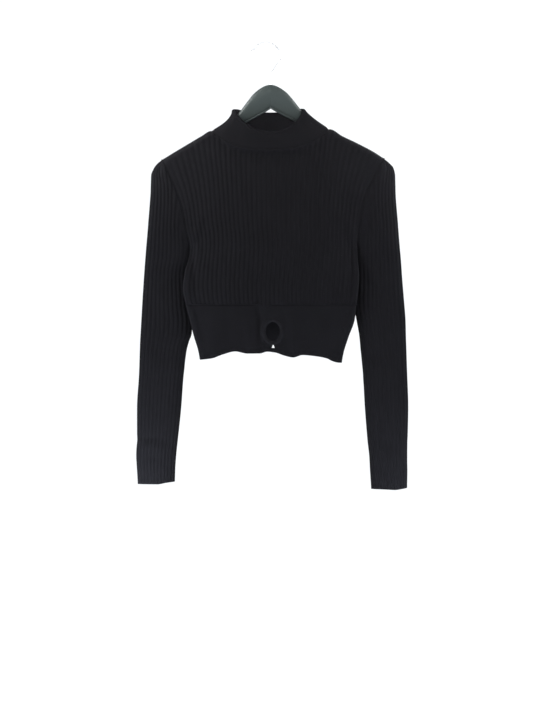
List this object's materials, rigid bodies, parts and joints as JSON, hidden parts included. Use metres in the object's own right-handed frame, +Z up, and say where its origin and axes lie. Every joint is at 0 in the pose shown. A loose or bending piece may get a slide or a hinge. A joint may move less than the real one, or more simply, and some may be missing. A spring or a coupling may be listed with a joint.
{
  "type": "cropped sweater on a clothes hanger",
  "caption": "Cropped rib-knit sweater with a funnel collar, long slim sleeves and a plain waistband with a front keyhole, hung on a moulded clothes hanger.",
  "frame": {"origin": "the inner crown of the hanger's hook, where a rail or peg carries it", "axes": "+Z up, +X to the right seen from the front, +Y towards the garment's back; the front faces -Y"},
  "size_m": [0.4896, 0.0478, 0.8043],
  "materials": {
    "knit": "matt fine rib knit, near black",
    "plastic": "moulded dark grey plastic with a soft sheen",
    "chrome": "bright plated wire"
  },
  "bodies": {
    "root": {"front_panel": "knit", "back_panel": "knit", "sleeve_left": "knit", "sleeve_right": "knit", "collar": "knit", "band_front": "knit", "band_back": "knit", "keyhole_binding": "knit", "hanger_body": "plastic", "hanger_hook": "chrome"}
  },
  "joints": []
}
